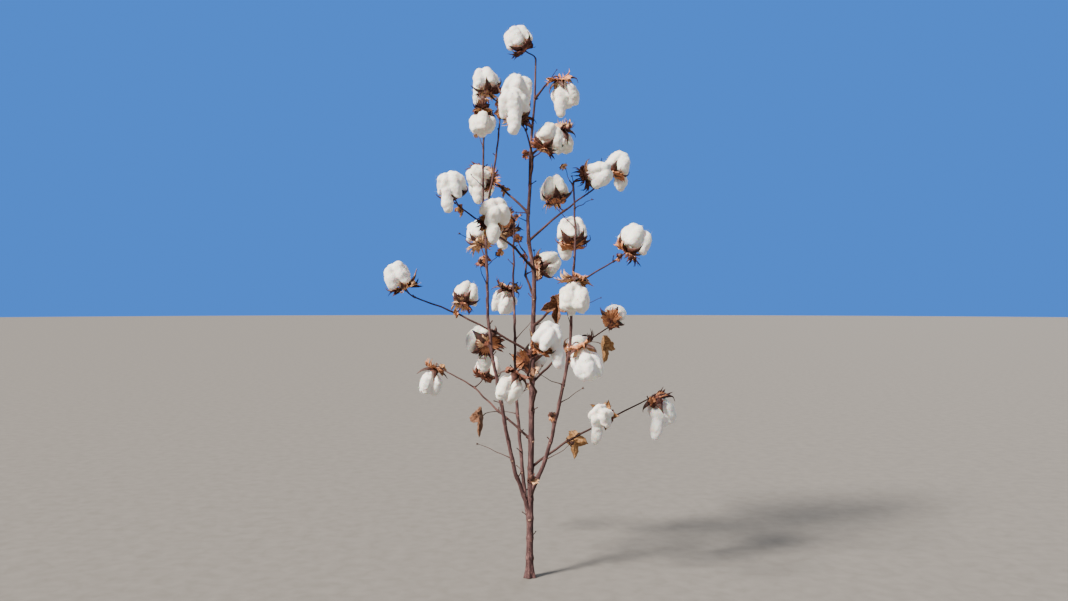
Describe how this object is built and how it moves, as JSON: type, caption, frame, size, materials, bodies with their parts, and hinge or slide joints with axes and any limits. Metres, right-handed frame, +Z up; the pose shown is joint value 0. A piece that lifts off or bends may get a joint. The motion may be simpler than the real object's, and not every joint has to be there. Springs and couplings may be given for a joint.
{
  "type": "cotton plant",
  "caption": "Upland cotton plant ready for picking: a woody main stem with side stems and fruiting branches that carry open bolls of white lint, rooted in level ground.",
  "frame": {"origin": "middle of the flat cut through the main stem at ground level, which is the mount ground", "axes": "+Z up along the plant's height, +X to the right and +Y away from a viewer at the plant's front"},
  "size_m": [0.6948, 0.6592, 1.3091],
  "materials": {
    "bark": "dry purplish brown bark, matt, with fine ridges and pale pores",
    "lint": "soft warm white cotton fibre, fully matt",
    "bur": "dry woody boll valves, dark purplish brown outside and tan inside, slightly satin",
    "dry_leaf": "papery dead bracts and leaves, orange brown to dark red brown, matt"
  },
  "bodies": {
    "root": {"main_stem": "bark", "side_stem_left": "bark", "side_stem_left_fork": "bark", "side_stem_right": "bark", "side_stem_back": "bark", "fruiting_branch_01": "bark", "fruiting_branch_02": "bark", "fruiting_branch_03": "bark", "fruiting_branch_04": "bark", "fruiting_branch_05": "bark", "fruiting_branch_06": "bark", "fruiting_branch_07": "bark", "fruiting_branch_08": "bark", "fruiting_branch_09": "bark", "fruiting_branch_10": "bark", "fruiting_branch_11": "bark", "fruiting_branch_12": "bark", "fruiting_branch_13": "bark", "fruiting_branch_14": "bark", "boll_01": "lint", "boll_02": "lint", "boll_03": "lint", "boll_04": "lint", "boll_05": "lint", "boll_06": "lint", "boll_07": "lint", "boll_08": "lint", "boll_09": "lint", "boll_10": "lint", "boll_11": "lint", "boll_12": "lint", "boll_13": "lint", "boll_14": "lint", "boll_15": "lint", "boll_16": "lint", "boll_17": "lint", "boll_18": "lint", "boll_19": "lint", "boll_20": "lint", "boll_21": "lint", "boll_22": "lint", "boll_23": "lint", "boll_24": "lint", "boll_25": "lint", "boll_26": "lint", "boll_27": "lint", "boll_28": "lint", "boll_29": "lint", "boll_30": "lint", "boll_31": "lint", "boll_32": "lint", "boll_33": "lint", "boll_34": "lint", "boll_35": "lint", "boll_36": "lint", "dry_leaf_1": "dry_leaf", "dry_leaf_2": "dry_leaf", "dry_leaf_3": "dry_leaf", "dry_leaf_4": "dry_leaf"}
  },
  "joints": []
}
